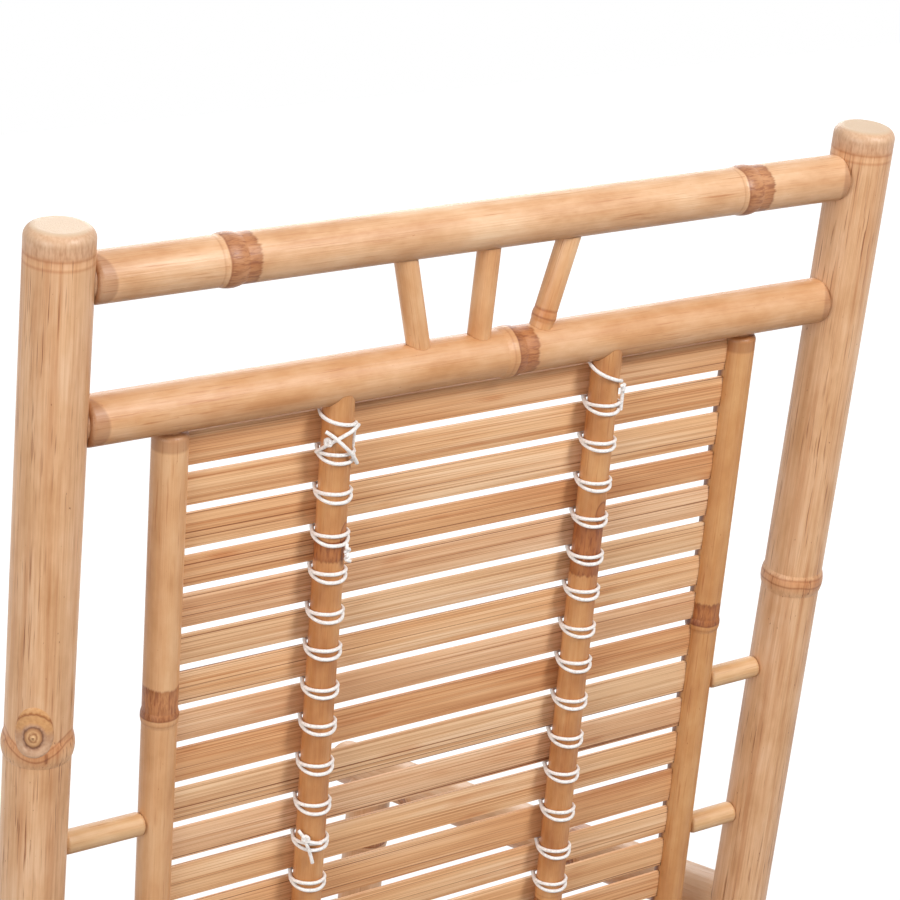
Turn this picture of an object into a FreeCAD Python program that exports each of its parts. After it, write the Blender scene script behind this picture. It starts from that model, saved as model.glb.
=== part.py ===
import FreeCAD, Part
import math
import os

os.makedirs("parts", exist_ok=True)
V = FreeCAD.Vector

# Driving dimensions, millimetres and degrees
POST_SPACING = 580.0
RAKE = 17.0
ARM_HEIGHT = 510.0
POST_R = 20.0
LEG_R = 19.0
ARM_R = 19.0
RAIL_R = 15.0
SPINDLE_R = 7.3
SIDE_POLE_R = 11.0
LACING_POLE_R = 9.5
DOWEL_R = 7.5
STRETCHER_R = 13.0

# Heights along the rear posts, measured from the second rail
POST_TOP = 118.5
POST_ROUND = 6.5
TOP_RAIL_V = 85.5
DOWEL_VS = (-275.0, -394.0)
DOWEL_FALL = 4.9
ARM_V = -480.5
SEAT_REAR_V = -667.0
SIDE_RAIL_DROP = 40.0
REAR_STRETCHER_V = -800.0

# Arm and front leg, measured down the leg from the arm axis
ARM_TO_LEG = 498.5
ARM_OVERHANG = 45.0
ARM_ROUND = 5.0
SEAT_FRONT_DROP = 145.0
FRONT_STRETCHER_DROP = 265.0

# Rocker: a bent culm on a circular arc
ROCKER_R = 20.0
ROCKER_ARC = 900.0
ROCKER_CENTRE = -169.4
ROCKER_FRONT = 35.17
ROCKER_REAR = 23.3

# Fan between the rails
FAN_FEET = (-44.0, -3.5, 40.0)
FAN_TOPS = (-66.5, -2.5, 60.5)
FAN_RING = 21.0

# Slatted panels of back and seat
SIDE_POLE_U = 212.1
SLAT_THICK = 3.5
SLAT_CROWN = 0.7
SLAT_EASE = 0.6
SLAT_TO_POLE = 0.25
SLAT_FIRST = 20.3
SLAT_IN_POLE = 7.5
SLAT_GAP = 5.5
LACING_US = (-105.7, 93.3)
LACING_W = 5.2
LACING_LIP = 5.0
SLAT_W = LACING_W - LACING_POLE_R - SLAT_TO_POLE - SLAT_THICK / 2.0

# Widths of the slats in turn: split by hand, so no two are quite alike
BACK_WIDTHS = (
    21.4, 20.4, 22.7, 19.9, 21.8, 19.9, 22.1, 20.2, 23.1, 23.4, 21.9, 24.5,
    25.2, 21.2, 22.2, 20.7, 21.7, 20.2, 22.2, 21.2, 21.7, 20.7, 21.7,
)
SEAT_WIDTHS = (23.2, 22.2, 23.7, 22.7) * 4

# The back's panel stands a little askew between the posts, as it does by hand work
BACK_SHIFT = 1.1
BACK_LEAN = 0.025

# Cord
CORD_R = 1.05
CORD_GAP = 0.25
CORD_BEND = 2.2
CORD_TAIL = 17.0

# Joints and culm rings
LEG_TENON = 10.0
RAIL_TENON = 9.0
SIDE_TENON = 8.0
STRETCHER_TENON = 8.0
POLE_TENON = 5.0
PEG_TENON = 4.3
DEEP = 13.0
POLE_DEEP = 9.0
SHALLOW = 8.0
PEG_DEEP = 10.0
PEG_SHALLOW = 4.0
COPE_GAP = 0.15
HOLE_GAP = 0.15
SLOT_GAP = 0.2
HOLE_DEEPER = 0.3

# Culm rings: how far they swell and half their length
RING = (1.2, 7.0)
POST_RING = (1.6, 8.0)
THIN_RING = (0.9, 5.0)
SPINDLE_RING = (0.5, 3.5)
ROCKER_RING = (1.2, 7.0)
ROCKER_RING_SINK = 0.3

# Where the rings are: along the posts from the second rail, down the legs from the arms,
# along the arms from the posts, in degrees round the rockers, and along every other culm
# from its first end, or from the middle for the two upper rails
POST_RINGS = {"left": (-200.0, -540.0, -905.0), "right": (-208.0, -555.0, -890.0)}
LEG_RINGS = {"left": (75.0, 322.0), "right": (68.0, 316.0)}
ARM_RINGS = {"left": (160.0, 405.0), "right": (175.0, 415.0)}
ROCKER_RINGS = {"left": (-19.0, -6.0, 8.0, 19.5), "right": (-17.5, -5.0, 9.0, 20.0)}
TOP_RINGS = (-185.0, 191.0)
SECOND_RINGS = (18.0,)
SEAT_REAR_RINGS = (118.0, 405.0)
SEAT_FRONT_RINGS = (170.0, 455.0)
SIDE_RAIL_RINGS = {"left": (130.0, 370.0), "right": (150.0, 385.0)}
FRONT_STRETCHER_RINGS = (140.0, 420.0)
REAR_STRETCHER_RINGS = (165.0, 440.0)
BACK_POLE_RINGS = {"left": (205.5, 480.0), "right": (231.5, 505.0)}
SEAT_POLE_RINGS = {"left": (150.0, 390.0), "right": (120.0, 345.0)}

# Whittled ends: how round, and how far out from the mate they start
RAIL_PARED = (3.0, 1.0)
SIDE_PARED = (3.5, 6.0)
PEG_PARED = (3.0, 2.5)

S17 = math.sin(math.radians(RAKE))
C17 = math.cos(math.radians(RAKE))
HALF = POST_SPACING / 2.0

# The model is centred front to back between the two ends of the rockers
OUTER_ARC = ROCKER_ARC + ROCKER_R
FRONT_END = ROCKER_CENTRE - OUTER_ARC * math.sin(math.radians(ROCKER_FRONT))
REAR_END = ROCKER_CENTRE + OUTER_ARC * math.sin(math.radians(ROCKER_REAR))
ARM_Y = -(FRONT_END + REAR_END) / 2.0
ARC_Y = ARM_Y + ROCKER_CENTRE
ARC_Z = OUTER_ARC

poles = {}
solids = {}


def on_post(x, v):
    d = v - ARM_V
    return V(x, ARM_Y + d * S17, ARM_HEIGHT + d * C17)


def on_leg(x, drop):
    return V(x, ARM_Y - ARM_TO_LEG - drop * S17, ARM_HEIGHT - drop * C17)


def culm(name, p0, p1, r, rings=(), swell=RING, round1=0.0, pared=None, mates=(0.0, 0.0)):
    # A bamboo culm: a turned profile with a swollen ring at each node.
    # Its ends are whittled round where they meet mates of the given radii, or rounded at a free end.
    length = (p1 - p0).Length
    rise, half = swell
    edges = []
    at = V(0, 0, 0)

    def line_to(q):
        nonlocal at
        edges.append(Part.makeLine(at, q))
        at = q

    def arc_to(m, q):
        nonlocal at
        edges.append(Part.Arc(at, m, q).toShape())
        at = q

    k = 1.0 - math.sqrt(0.5)
    if pared:
        c, out = pared
        s = mates[0] + out
        line_to(V(r - c, 0, 0))
        line_to(V(r - c, 0, s - c))
        arc_to(V(r - c * k, 0, s - c * (1.0 - k)), V(r, 0, s))
    else:
        line_to(V(r, 0, 0))
    for s in sorted(rings):
        line_to(V(r, 0, s - half))
        arc_to(V(r + rise, 0, s), V(r, 0, s + half))
    if pared:
        s = length - mates[1] - out
        line_to(V(r, 0, s))
        arc_to(V(r - c * k, 0, s + c * (1.0 - k)), V(r - c, 0, s + c))
        line_to(V(r - c, 0, length))
    elif round1 > 0:
        line_to(V(r, 0, length - round1))
        arc_to(V(r - round1 * k, 0, length - round1 * k), V(r - round1, 0, length))
    else:
        line_to(V(r, 0, length))
    line_to(V(0, 0, length))
    line_to(V(0, 0, 0))
    body = Part.Face(Part.Wire(edges)).revolve(V(0, 0, 0), V(0, 0, 1), 360)
    body.Placement = FreeCAD.Placement(p0, FreeCAD.Rotation(V(0, 0, 1), p1 - p0))
    poles[name] = (p0, p1, r)
    solids[name] = body


def rod(a, b, r):
    return Part.makeCylinder(r, (b - a).Length, a, b - a)


def tenon_into(name, end, mate, mate_r, tenon_r, depth, clear):
    # Scribe the end of a culm round its mate, and peg it into a blind hole there
    p0, p1, r = poles[name]
    foot = p0 if end == 0 else p1
    away = (p1 - p0) if end == 0 else (p0 - p1)
    away.normalize()
    tip = foot + away * (mate_r - depth)
    root = foot + away * (mate_r + 2.0 * r)
    solids[name] = solids[name].cut(clear).fuse(rod(tip, root, tenon_r)).removeSplitter()
    hole = rod(foot + away * (mate_r - depth - HOLE_DEEPER), root, tenon_r + HOLE_GAP)
    solids[mate] = solids[mate].cut(hole)


def join(name, end, mate, tenon_r, depth):
    m0, m1, mr = poles[mate]
    tenon_into(name, end, mate, mr, tenon_r, depth, rod(m0, m1, mr + COPE_GAP))


def meet_arc(y0, z0):
    # Distance down the raked axis from the arm height to the rocker axis
    a = y0 - ARC_Y
    b = z0 - ARC_Z
    h = a * S17 + b * C17
    return h + math.sqrt(h * h - (a * a + b * b - ROCKER_ARC * ROCKER_ARC))


# Rear posts: thick culms, closed at the top by a node plate
POST_FOOT = meet_arc(ARM_Y, ARM_HEIGHT)
LEG_FOOT = meet_arc(ARM_Y - ARM_TO_LEG, ARM_HEIGHT)
for side, x in (("left", HALF), ("right", -HALF)):
    foot = on_post(x, ARM_V - POST_FOOT)
    top = on_post(x, POST_TOP)
    base = ARM_V - POST_FOOT
    rings = [v - base for v in POST_RINGS[side]]
    culm(side + "_rear_post", foot, top, POST_R, rings, POST_RING, POST_ROUND)

# Front legs: the same rake as the posts, their tops under the arms
for side, x in (("left", HALF), ("right", -HALF)):
    rings = [LEG_FOOT - d for d in LEG_RINGS[side]]
    culm(side + "_front_leg", on_leg(x, LEG_FOOT), on_leg(x, 0.0), LEG_R, rings)

# Arms: level culms from the post to just past the front leg
for side, x in (("left", HALF), ("right", -HALF)):
    start = V(x, ARM_Y, ARM_HEIGHT)
    end = V(x, ARM_Y - ARM_TO_LEG - ARM_OVERHANG, ARM_HEIGHT)
    culm(side + "_arm", start, end, ARM_R, ARM_RINGS[side], RING, ARM_ROUND)


def arc_point(x, angle, r=ROCKER_ARC):
    t = math.radians(angle)
    return V(x, ARC_Y + r * math.sin(t), ARC_Z - r * math.cos(t))


def bent(x, r, front, rear):
    # A round bar bent on the rocker arc
    start = arc_point(x, -front)
    t = math.radians(-front)
    ring = Part.Wire([Part.makeCircle(r, start, V(0, math.cos(t), math.sin(t)))])
    return Part.Face(ring).revolve(V(x, ARC_Y, ARC_Z), V(1, 0, 0), front + rear)


# Rockers: culms bent over heat, their rings dressed flush along the running edge
for side, x in (("left", HALF), ("right", -HALF)):
    body = bent(x, ROCKER_R, ROCKER_FRONT, ROCKER_REAR)
    wheel = Part.makeCylinder(OUTER_ARC, 4.0 * ROCKER_R, V(x - 2.0 * ROCKER_R, ARC_Y, ARC_Z), V(1, 0, 0))
    rise, w = ROCKER_RING
    low = ROCKER_R - ROCKER_RING_SINK
    for angle in ROCKER_RINGS[side]:
        t = math.radians(angle)
        c = arc_point(x, angle)
        lines = [
            Part.makeLine(V(0, 0, -w), V(low, 0, -w)),
            Part.Arc(V(low, 0, -w), V(ROCKER_R + rise, 0, 0), V(low, 0, w)).toShape(),
            Part.makeLine(V(low, 0, w), V(0, 0, w)),
            Part.makeLine(V(0, 0, w), V(0, 0, -w)),
        ]
        disc = Part.Face(Part.Wire(lines)).revolve(V(0, 0, 0), V(0, 0, 1), 360)
        disc.Placement = FreeCAD.Placement(c, FreeCAD.Rotation(V(0, 0, 1), V(0, math.cos(t), math.sin(t))))
        body = body.fuse(disc.common(wheel))
    solids[side + "_rocker"] = body.removeSplitter()


def rail(name, left, r, rings, mate_r):
    right = V(-left.x, left.y, left.z)
    culm(name, left, right, r, rings, RING, 0.0, RAIL_PARED, (mate_r, mate_r))


# Rails of the back
rail("top_rail", on_post(HALF, TOP_RAIL_V), RAIL_R, [HALF + u for u in TOP_RINGS], POST_R)
rail("second_rail", on_post(HALF, 0.0), RAIL_R, [HALF + u for u in SECOND_RINGS], POST_R)

# Rails of the seat
rail("seat_rear_rail", on_post(HALF, SEAT_REAR_V), RAIL_R, SEAT_REAR_RINGS, POST_R)
rail("seat_front_rail", on_leg(HALF, SEAT_FRONT_DROP), RAIL_R, SEAT_FRONT_RINGS, LEG_R)
for side, x in (("left", HALF), ("right", -HALF)):
    start = on_post(x, SEAT_REAR_V - SIDE_RAIL_DROP)
    end = on_leg(x, SEAT_FRONT_DROP + SIDE_RAIL_DROP)
    rings = SIDE_RAIL_RINGS[side]
    culm(side + "_seat_side_rail", start, end, RAIL_R, rings, RING, 0.0, RAIL_PARED, (POST_R, LEG_R))

# Stretchers low down between the two sides
rail("front_stretcher", on_leg(HALF, FRONT_STRETCHER_DROP), STRETCHER_R, FRONT_STRETCHER_RINGS, LEG_R)
rail("rear_stretcher", on_post(HALF, REAR_STRETCHER_V), STRETCHER_R, REAR_STRETCHER_RINGS, POST_R)

# Joints of the main frame
for side, x in (("left", HALF), ("right", -HALF)):
    post = side + "_rear_post"
    leg = side + "_front_leg"
    clear = bent(x, ROCKER_R + COPE_GAP, ROCKER_FRONT, ROCKER_REAR)
    tenon_into(post, 0, side + "_rocker", ROCKER_R, LEG_TENON, DEEP, clear)
    tenon_into(leg, 0, side + "_rocker", ROCKER_R, LEG_TENON, DEEP, clear)
    join(leg, 1, side + "_arm", LEG_TENON, DEEP)
    join(side + "_arm", 0, post, LEG_TENON, DEEP)
    join(side + "_seat_side_rail", 0, post, SIDE_TENON, DEEP)
    join(side + "_seat_side_rail", 1, leg, SIDE_TENON, DEEP)
    end = 0 if side == "left" else 1
    for name in ("top_rail", "second_rail", "seat_rear_rail"):
        join(name, end, post, RAIL_TENON, DEEP)
    join("rear_stretcher", end, post, STRETCHER_TENON, DEEP)
    join("seat_front_rail", end, leg, RAIL_TENON, DEEP)
    join("front_stretcher", end, leg, STRETCHER_TENON, DEEP)

# Fan of three thin culms between the two upper rails
for word, low, high in zip(("left", "centre", "right"), FAN_FEET, FAN_TOPS):
    name = "fan_spindle_" + word
    rings = (FAN_RING,) if word == "right" else ()
    culm(name, on_post(-low, 0.0), on_post(-high, TOP_RAIL_V), SPINDLE_R, rings, SPINDLE_RING)
    join(name, 0, "second_rail", PEG_TENON, SHALLOW)
    join(name, 1, "top_rail", PEG_TENON, SHALLOW)

# Frames of the two slatted panels: u across, v along the panel, w towards the lacing
BACK = (on_post(-BACK_SHIFT, 0.0), V(-1, 0, 0), V(BACK_LEAN, S17, C17), V(0, C17, -S17))
SEAT_FRONT = on_leg(0.0, SEAT_FRONT_DROP)
SEAT_REAR = on_post(0.0, SEAT_REAR_V)
SEAT_LENGTH = (SEAT_FRONT - SEAT_REAR).Length
SEAT_V = (SEAT_FRONT - SEAT_REAR) * (1.0 / SEAT_LENGTH)
SEAT = (SEAT_FRONT, V(1, 0, 0), SEAT_V, V(1, 0, 0).cross(SEAT_V))


def at(frame, u, v, w):
    o, eu, ev, ew = frame
    return o + eu * u + ev * v + ew * w


def slat(frame, v_top, width, half_length):
    # One split strip: flat in front, a little crowned on the skin side, edges eased
    c = SLAT_EASE
    t = SLAT_THICK / 2.0
    h = width / 2.0
    v = v_top - h
    side = t - SLAT_CROWN

    def p(dv, dw):
        return at(frame, -half_length, v + dv, SLAT_W + dw)

    edges = [
        Part.makeLine(p(-h + c, -t), p(h - c, -t)),
        Part.makeLine(p(h - c, -t), p(h, -t + c)),
        Part.makeLine(p(h, -t + c), p(h, side)),
        Part.Arc(p(h, side), p(0.0, t), p(-h, side)).toShape(),
        Part.makeLine(p(-h, side), p(-h, -t + c)),
        Part.makeLine(p(-h, -t + c), p(-h + c, -t)),
    ]
    return Part.Face(Part.Wire(edges)).extrude(frame[1] * (2.0 * half_length))


def slot(frame, v_top, width, half_length):
    # The slot that a slat's ends leave in the side poles
    g = SLOT_GAP
    t = SLAT_THICK / 2.0 + g
    e = half_length + g
    top = v_top + g
    low = v_top - width - g
    corners = [at(frame, -e, top, SLAT_W - t), at(frame, -e, low, SLAT_W - t)]
    corners += [at(frame, -e, low, SLAT_W + t), at(frame, -e, top, SLAT_W + t)]
    return Part.Face(Part.makePolygon(corners + corners[:1])).extrude(frame[1] * (2.0 * e))


def fillet(a, b, c, r):
    # Rounded right-angled corner at b: where it starts, its arc and where it ends
    d1 = (a - b).normalize()
    d2 = (c - b).normalize()
    s = b + d1 * r
    e = b + d2 * r
    m = b + (d1 + d2) * (r * (1.0 - math.sqrt(0.5)))
    return s, Part.Arc(s, m, e).toShape(), e


def lacing(frame, u0, gaps):
    # Cord path: through a gap, round the back of the pole, out again, and across the slat to the next gap
    a = LACING_POLE_R + CORD_R + CORD_GAP
    wf = SLAT_W - SLAT_THICK / 2.0 - CORD_R - CORD_GAP
    steps = [v0 - v1 for v0, v1 in zip(gaps, gaps[1:])]
    steps.append(steps[-1])
    run = math.hypot(2.0 * a, steps[0])
    edges = []
    here = at(frame, u0 - a + 2.0 * a / run * CORD_TAIL, gaps[0] + steps[0] / run * CORD_TAIL, wf)
    for i, v in enumerate(gaps):
        run = math.hypot(2.0 * a, steps[i])
        corner_in = at(frame, u0 - a, v, wf)
        turn_in = at(frame, u0 - a, v, LACING_W)
        back = at(frame, u0, v, LACING_W + a)
        turn_out = at(frame, u0 + a, v, LACING_W)
        corner_out = at(frame, u0 + a, v, wf)
        last = i == len(gaps) - 1
        reach = CORD_TAIL if last else run
        after = at(frame, u0 + a - 2.0 * a / run * reach, v - steps[i] / run * reach, wf)
        s, arc, e = fillet(here, corner_in, turn_in, CORD_BEND)
        edges.append(Part.makeLine(here, s))
        edges.append(arc)
        edges.append(Part.makeLine(e, turn_in))
        edges.append(Part.Arc(turn_in, back, turn_out).toShape())
        s, arc, e = fillet(turn_out, corner_out, after, CORD_BEND)
        edges.append(Part.makeLine(turn_out, s))
        edges.append(arc)
        here = e
        if last:
            edges.append(Part.makeLine(here, after))
    return Part.Wire(edges)


def cord(name, path):
    first = path.Edges[0]
    start = first.Vertexes[0].Point
    along = first.Vertexes[1].Point - start
    ring = Part.Wire([Part.makeCircle(CORD_R, start, along)])
    tube = path.makePipeShell([ring], True, False)
    section = math.pi * CORD_R * CORD_R
    points = path.discretize(Distance=1.5)
    least = 1e9
    for i in range(len(points)):
        for j in range(i + 10, len(points)):
            d = points[i].distanceToPoint(points[j])
            if d < least:
                least = d
    ratio = tube.Volume / (section * path.Length)
    print("%s: self gap %.2f mm, volume over section times length %.4f" % (name, least - 2.0 * CORD_R, ratio))
    solids[name] = tube


def panel(prefix, frame, head, tail, tail_v, widths, ring_sets):
    # Side poles, slats, lacing poles and cords of one panel between a head rail and a tail rail
    half_length = SIDE_POLE_U - SIDE_POLE_R + SLAT_IN_POLE
    tops = []
    v = -SLAT_FIRST
    for width in widths:
        tops.append(v)
        v -= width + SLAT_GAP
    gaps = [v + SLAT_GAP / 2.0 for v in tops[1:]]
    slots = [slot(frame, v, width, half_length) for v, width in zip(tops, widths)]
    for word, s in (("left", -1.0), ("right", 1.0)):
        name = prefix + "_side_pole_" + word
        start = at(frame, s * SIDE_POLE_U, 0.0, SLAT_W)
        end = at(frame, s * SIDE_POLE_U, tail_v, SLAT_W)
        rings = ring_sets[word]
        culm(name, start, end, SIDE_POLE_R, rings, THIN_RING, 0.0, SIDE_PARED, (RAIL_R, RAIL_R))
        join(name, 0, head, POLE_TENON, POLE_DEEP)
        join(name, 1, tail, POLE_TENON, POLE_DEEP)
    for word, u in zip(("left", "right"), LACING_US):
        name = prefix + "_lacing_pole_" + word
        start = at(frame, u, -LACING_LIP, LACING_W)
        end = at(frame, u, tail_v + LACING_LIP, LACING_W)
        culm(name, start, end, LACING_POLE_R)
        for mate in (head, tail):
            r0, r1, rr = poles[mate]
            solids[name] = solids[name].cut(rod(r0, r1, rr + COPE_GAP))
        cord(prefix + "_lacing_cord_" + word, lacing(frame, u, gaps))
    return [slat(frame, v, width, half_length) for v, width in zip(tops, widths)], slots


back_slats, back_slots = panel(
    "back", BACK, "second_rail", "seat_rear_rail", SEAT_REAR_V, BACK_WIDTHS, BACK_POLE_RINGS
)
for i, strip in enumerate(back_slats):
    solids["back_slat_%02d" % (i + 1)] = strip

seat_slats, seat_slots = panel(
    "seat", SEAT, "seat_front_rail", "seat_rear_rail", -SEAT_LENGTH, SEAT_WIDTHS, SEAT_POLE_RINGS
)
solids["seat_slats"] = Part.makeCompound(seat_slats)

# Short pegs that hold the side poles of the back out from the posts
for word, s in (("left", 1.0), ("right", -1.0)):
    for level, v in zip(("upper", "lower"), DOWEL_VS):
        name = "back_dowel_%s_%s" % (word, level)
        start = on_post(s * HALF, v)
        end = at(BACK, -s * SIDE_POLE_U, v - DOWEL_FALL, SLAT_W)
        culm(name, start, end, DOWEL_R, (), RING, 0.0, PEG_PARED, (POST_R, SIDE_POLE_R))
        join(name, 0, word + "_rear_post", PEG_TENON, PEG_DEEP)
        join(name, 1, "back_side_pole_" + word, PEG_TENON, PEG_SHALLOW)

# Slots for the slat ends
for prefix, slots in (("back", back_slots), ("seat", seat_slots)):
    tool = Part.makeCompound(slots)
    for word in ("left", "right"):
        name = prefix + "_side_pole_" + word
        solids[name] = solids[name].cut(tool)

# Balance: the centre of mass should stand over the lowest point of the rockers
mass = 0.0
moment = V(0, 0, 0)
for name in solids:
    for piece in solids[name].Solids:
        mass += piece.Volume
        moment += piece.CenterOfMass * piece.Volume
centre = moment * (1.0 / mass)
print("centre of mass y %.1f z %.1f, rocker low point y %.1f" % (centre.y, centre.z, ARC_Y))
print("volume %.3f litres, pieces %d" % (mass / 1e6, len(solids)))

for name in sorted(solids):
    shape = solids[name]
    if not shape.isValid() or len(shape.Solids) < 1:
        print("check this piece:", name, shape.isValid(), len(shape.Solids))
    if len(shape.Solids) == 1:
        shape = shape.Solids[0]
    elif name != "seat_slats":
        print("more than one solid:", name, len(shape.Solids))
    shape.exportStep("parts/" + name + ".step")
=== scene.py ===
import math
import random

import bmesh
import bpy
from mathutils import Euler, Matrix, Vector


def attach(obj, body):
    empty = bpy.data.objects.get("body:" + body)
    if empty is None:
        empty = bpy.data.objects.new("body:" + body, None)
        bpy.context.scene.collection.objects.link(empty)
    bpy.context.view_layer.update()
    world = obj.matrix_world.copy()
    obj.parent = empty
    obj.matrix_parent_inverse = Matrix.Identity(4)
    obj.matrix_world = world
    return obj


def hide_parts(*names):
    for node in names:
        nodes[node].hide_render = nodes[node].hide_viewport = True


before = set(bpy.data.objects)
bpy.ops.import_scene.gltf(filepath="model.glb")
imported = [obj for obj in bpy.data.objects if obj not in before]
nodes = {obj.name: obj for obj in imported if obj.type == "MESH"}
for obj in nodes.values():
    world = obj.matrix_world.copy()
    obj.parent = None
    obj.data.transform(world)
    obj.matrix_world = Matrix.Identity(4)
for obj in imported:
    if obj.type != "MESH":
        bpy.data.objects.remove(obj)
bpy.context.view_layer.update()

MM = 0.001

# Rear posts
# Two thick culms of smoked bamboo, raked back, each cut just above a node so that the node plate closes
# the top. The skin is left on and varnished, so sheath scars, rings and fine brown streaks show.
RAKE = math.radians(17.0)
POST_SPACING = 580.0 * MM
POST_RADIUS = 20.0 * MM
POST_TOP = 118.5 * MM
POST_FOOT = -990.0 * MM
POST_LENGTH = POST_TOP - POST_FOOT
RAIL_CENTRE = Vector((0.0, 392.88 * MM, 969.50 * MM))
BACK_ACROSS = Vector((-1.0, 0.0, 0.0))
BACK_UP = Vector((0.0, math.sin(RAKE), math.cos(RAKE)))
BACK_OUT = Vector((0.0, math.cos(RAKE), -math.sin(RAKE)))


def back_point(u, v, w):
    return RAIL_CENTRE + BACK_ACROSS * u + BACK_UP * v + BACK_OUT * w


def linear(red, green, blue):
    # Screen colour, 0 to 255, as a shader colour
    steps = [c / 255.0 for c in (red, green, blue)]
    return tuple(((c + 0.055) / 1.055) ** 2.4 if c > 0.04045 else c / 12.92 for c in steps) + (1.0,)


class Wiring:
    # A material's nodes, with short calls to add and join them
    def __init__(self, name):
        self.material = bpy.data.materials.new(name)
        self.material.use_nodes = True
        self.tree = self.material.node_tree
        self.shader = self.tree.nodes["Principled BSDF"]

    def add(self, kind, **settings):
        node = self.tree.nodes.new(kind)
        for key, value in settings.items():
            setattr(node, key, value)
        return node

    def join(self, source, target):
        self.tree.links.new(source, target)

    def local(self, place, turn):
        # Object coordinates seen from a piece's own foot and axis
        coords = self.add("ShaderNodeTexCoord")
        mapping = self.add("ShaderNodeMapping", vector_type="TEXTURE")
        mapping.inputs["Location"].default_value = place
        mapping.inputs["Rotation"].default_value = turn
        self.join(coords.outputs["Object"], mapping.inputs["Vector"])
        return mapping.outputs["Vector"]

    def split(self, vector):
        parts = self.add("ShaderNodeSeparateXYZ")
        self.join(vector, parts.inputs[0])
        return parts.outputs["X"], parts.outputs["Y"], parts.outputs["Z"]

    def combine(self, x, y, z):
        whole = self.add("ShaderNodeCombineXYZ")
        for place, value in enumerate((x, y, z)):
            self.join(value, whole.inputs[place])
        return whole.outputs[0]

    def stretched(self, vector, stretch):
        scale = self.add("ShaderNodeVectorMath", operation="MULTIPLY")
        scale.inputs[1].default_value = stretch
        self.join(vector, scale.inputs[0])
        return scale.outputs["Vector"]

    def noise(self, vector, stretch, detail=2.0, seed=0.0, rough=0.5):
        grain = self.add("ShaderNodeTexNoise", noise_dimensions="4D")
        grain.inputs["Scale"].default_value = 1.0
        grain.inputs["Detail"].default_value = detail
        grain.inputs["Roughness"].default_value = rough
        grain.inputs["W"].default_value = seed
        self.join(self.stretched(vector, stretch), grain.inputs["Vector"])
        return grain.outputs["Fac"]

    def ramp(self, value, stops):
        # Stops are (place, colour)
        ramp = self.add("ShaderNodeValToRGB")
        elements = ramp.color_ramp.elements
        while len(elements) < len(stops):
            elements.new(0.5)
        for element, (place, colour) in zip(elements, stops):
            element.position = place
            element.color = colour
        self.join(value, ramp.inputs["Fac"])
        return ramp.outputs["Color"]

    def mix(self, first, second, amount, blend="MULTIPLY"):
        mix = self.add("ShaderNodeMix", data_type="RGBA", blend_type=blend)
        if isinstance(amount, float):
            mix.inputs[0].default_value = amount
        else:
            self.join(amount, mix.inputs[0])
        self.join(first, mix.inputs[6])
        if isinstance(second, tuple):
            mix.inputs[7].default_value = second
        else:
            self.join(second, mix.inputs[7])
        return mix.outputs[2]

    def multiply(self, first, second):
        return self.mix(first, second, 1.0)

    def ranged(self, value, low, high, to_low=0.0, to_high=1.0):
        span = self.add("ShaderNodeMapRange")
        for place, number in zip((1, 2, 3, 4), (low, high, to_low, to_high)):
            span.inputs[place].default_value = number
        self.join(value, span.inputs[0])
        return span.outputs[0]

    def sums(self, first, second, operation="ADD"):
        node = self.add("ShaderNodeMath", operation=operation)
        self.join(first, node.inputs[0])
        if isinstance(second, float):
            node.inputs[1].default_value = second
        else:
            self.join(second, node.inputs[1])
        return node.outputs[0]

    def finish(self, colour, height, rough, relief):
        self.join(colour, self.shader.inputs["Base Color"])
        self.join(rough, self.shader.inputs["Roughness"])
        bump = self.add("ShaderNodeBump")
        bump.inputs["Strength"].default_value = 1.0
        bump.inputs["Distance"].default_value = relief
        self.join(height, bump.inputs["Height"])
        self.join(bump.outputs["Normal"], self.shader.inputs["Normal"])
        return self.material


WHITE = (1.0, 1.0, 1.0, 1.0)
RING_BELOW = 10.0 * MM
RING_ABOVE = 30.0 * MM
RING_SPAN = RING_BELOW + RING_ABOVE
# A node seen along the culm, in millimetres from its ridge: a grey line, the pale ridge and a dark line
RIDGE_LOOK = (
    (-10.0, WHITE),
    (-4.0, WHITE),
    (-3.0, (0.84, 0.75, 0.67, 1.0)),
    (-2.0, (0.97, 0.94, 0.91, 1.0)),
    (0.0, WHITE),
    (0.8, (0.70, 0.54, 0.42, 1.0)),
    (1.8, WHITE),
)
# The brown scar of the sheath beside the ridge, from its foot to its ragged edge
SCAR_TINT = (
    (0.0, (0.56, 0.39, 0.27, 1.0)),
    (0.2, (0.66, 0.48, 0.35, 1.0)),
    (0.55, (0.78, 0.60, 0.46, 1.0)),
    (0.85, (0.70, 0.52, 0.38, 1.0)),
    (1.0, (0.58, 0.41, 0.28, 1.0)),
)
SCAR_LENGTH = 16.0 * MM
SCAR_RAGGED = 2.6 * MM
RIDGE_WAVE = 0.8 * MM
# A node with a thin red-brown double line, pale where it swells
LINE_LOOK = (
    (-10.0, WHITE),
    (-6.0, (0.98, 0.95, 0.91, 1.0)),
    (-1.4, (0.90, 0.79, 0.69, 1.0)),
    (-0.3, (0.58, 0.38, 0.26, 1.0)),
    (0.8, (0.90, 0.76, 0.64, 1.0)),
    (3.8, (0.88, 0.72, 0.59, 1.0)),
    (4.8, (0.68, 0.48, 0.35, 1.0)),
    (6.2, (0.99, 0.96, 0.93, 1.0)),
    (20.0, WHITE),
)
# How strong the marks of a skin are: fine fibres, brown streaks and small flecks
FLECKED = {
    "fibre": (0.86, 0.79, 0.72, 1.0),
    "streak": (0.82, 0.70, 0.60, 1.0),
    "hair": (0.48, 0.33, 0.23, 1.0),
}
SMOOTH = {
    "fibre": (0.95, 0.91, 0.87, 1.0),
    "streak": (0.93, 0.86, 0.79, 1.0),
    "hair": (0.80, 0.66, 0.55, 1.0),
}
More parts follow.
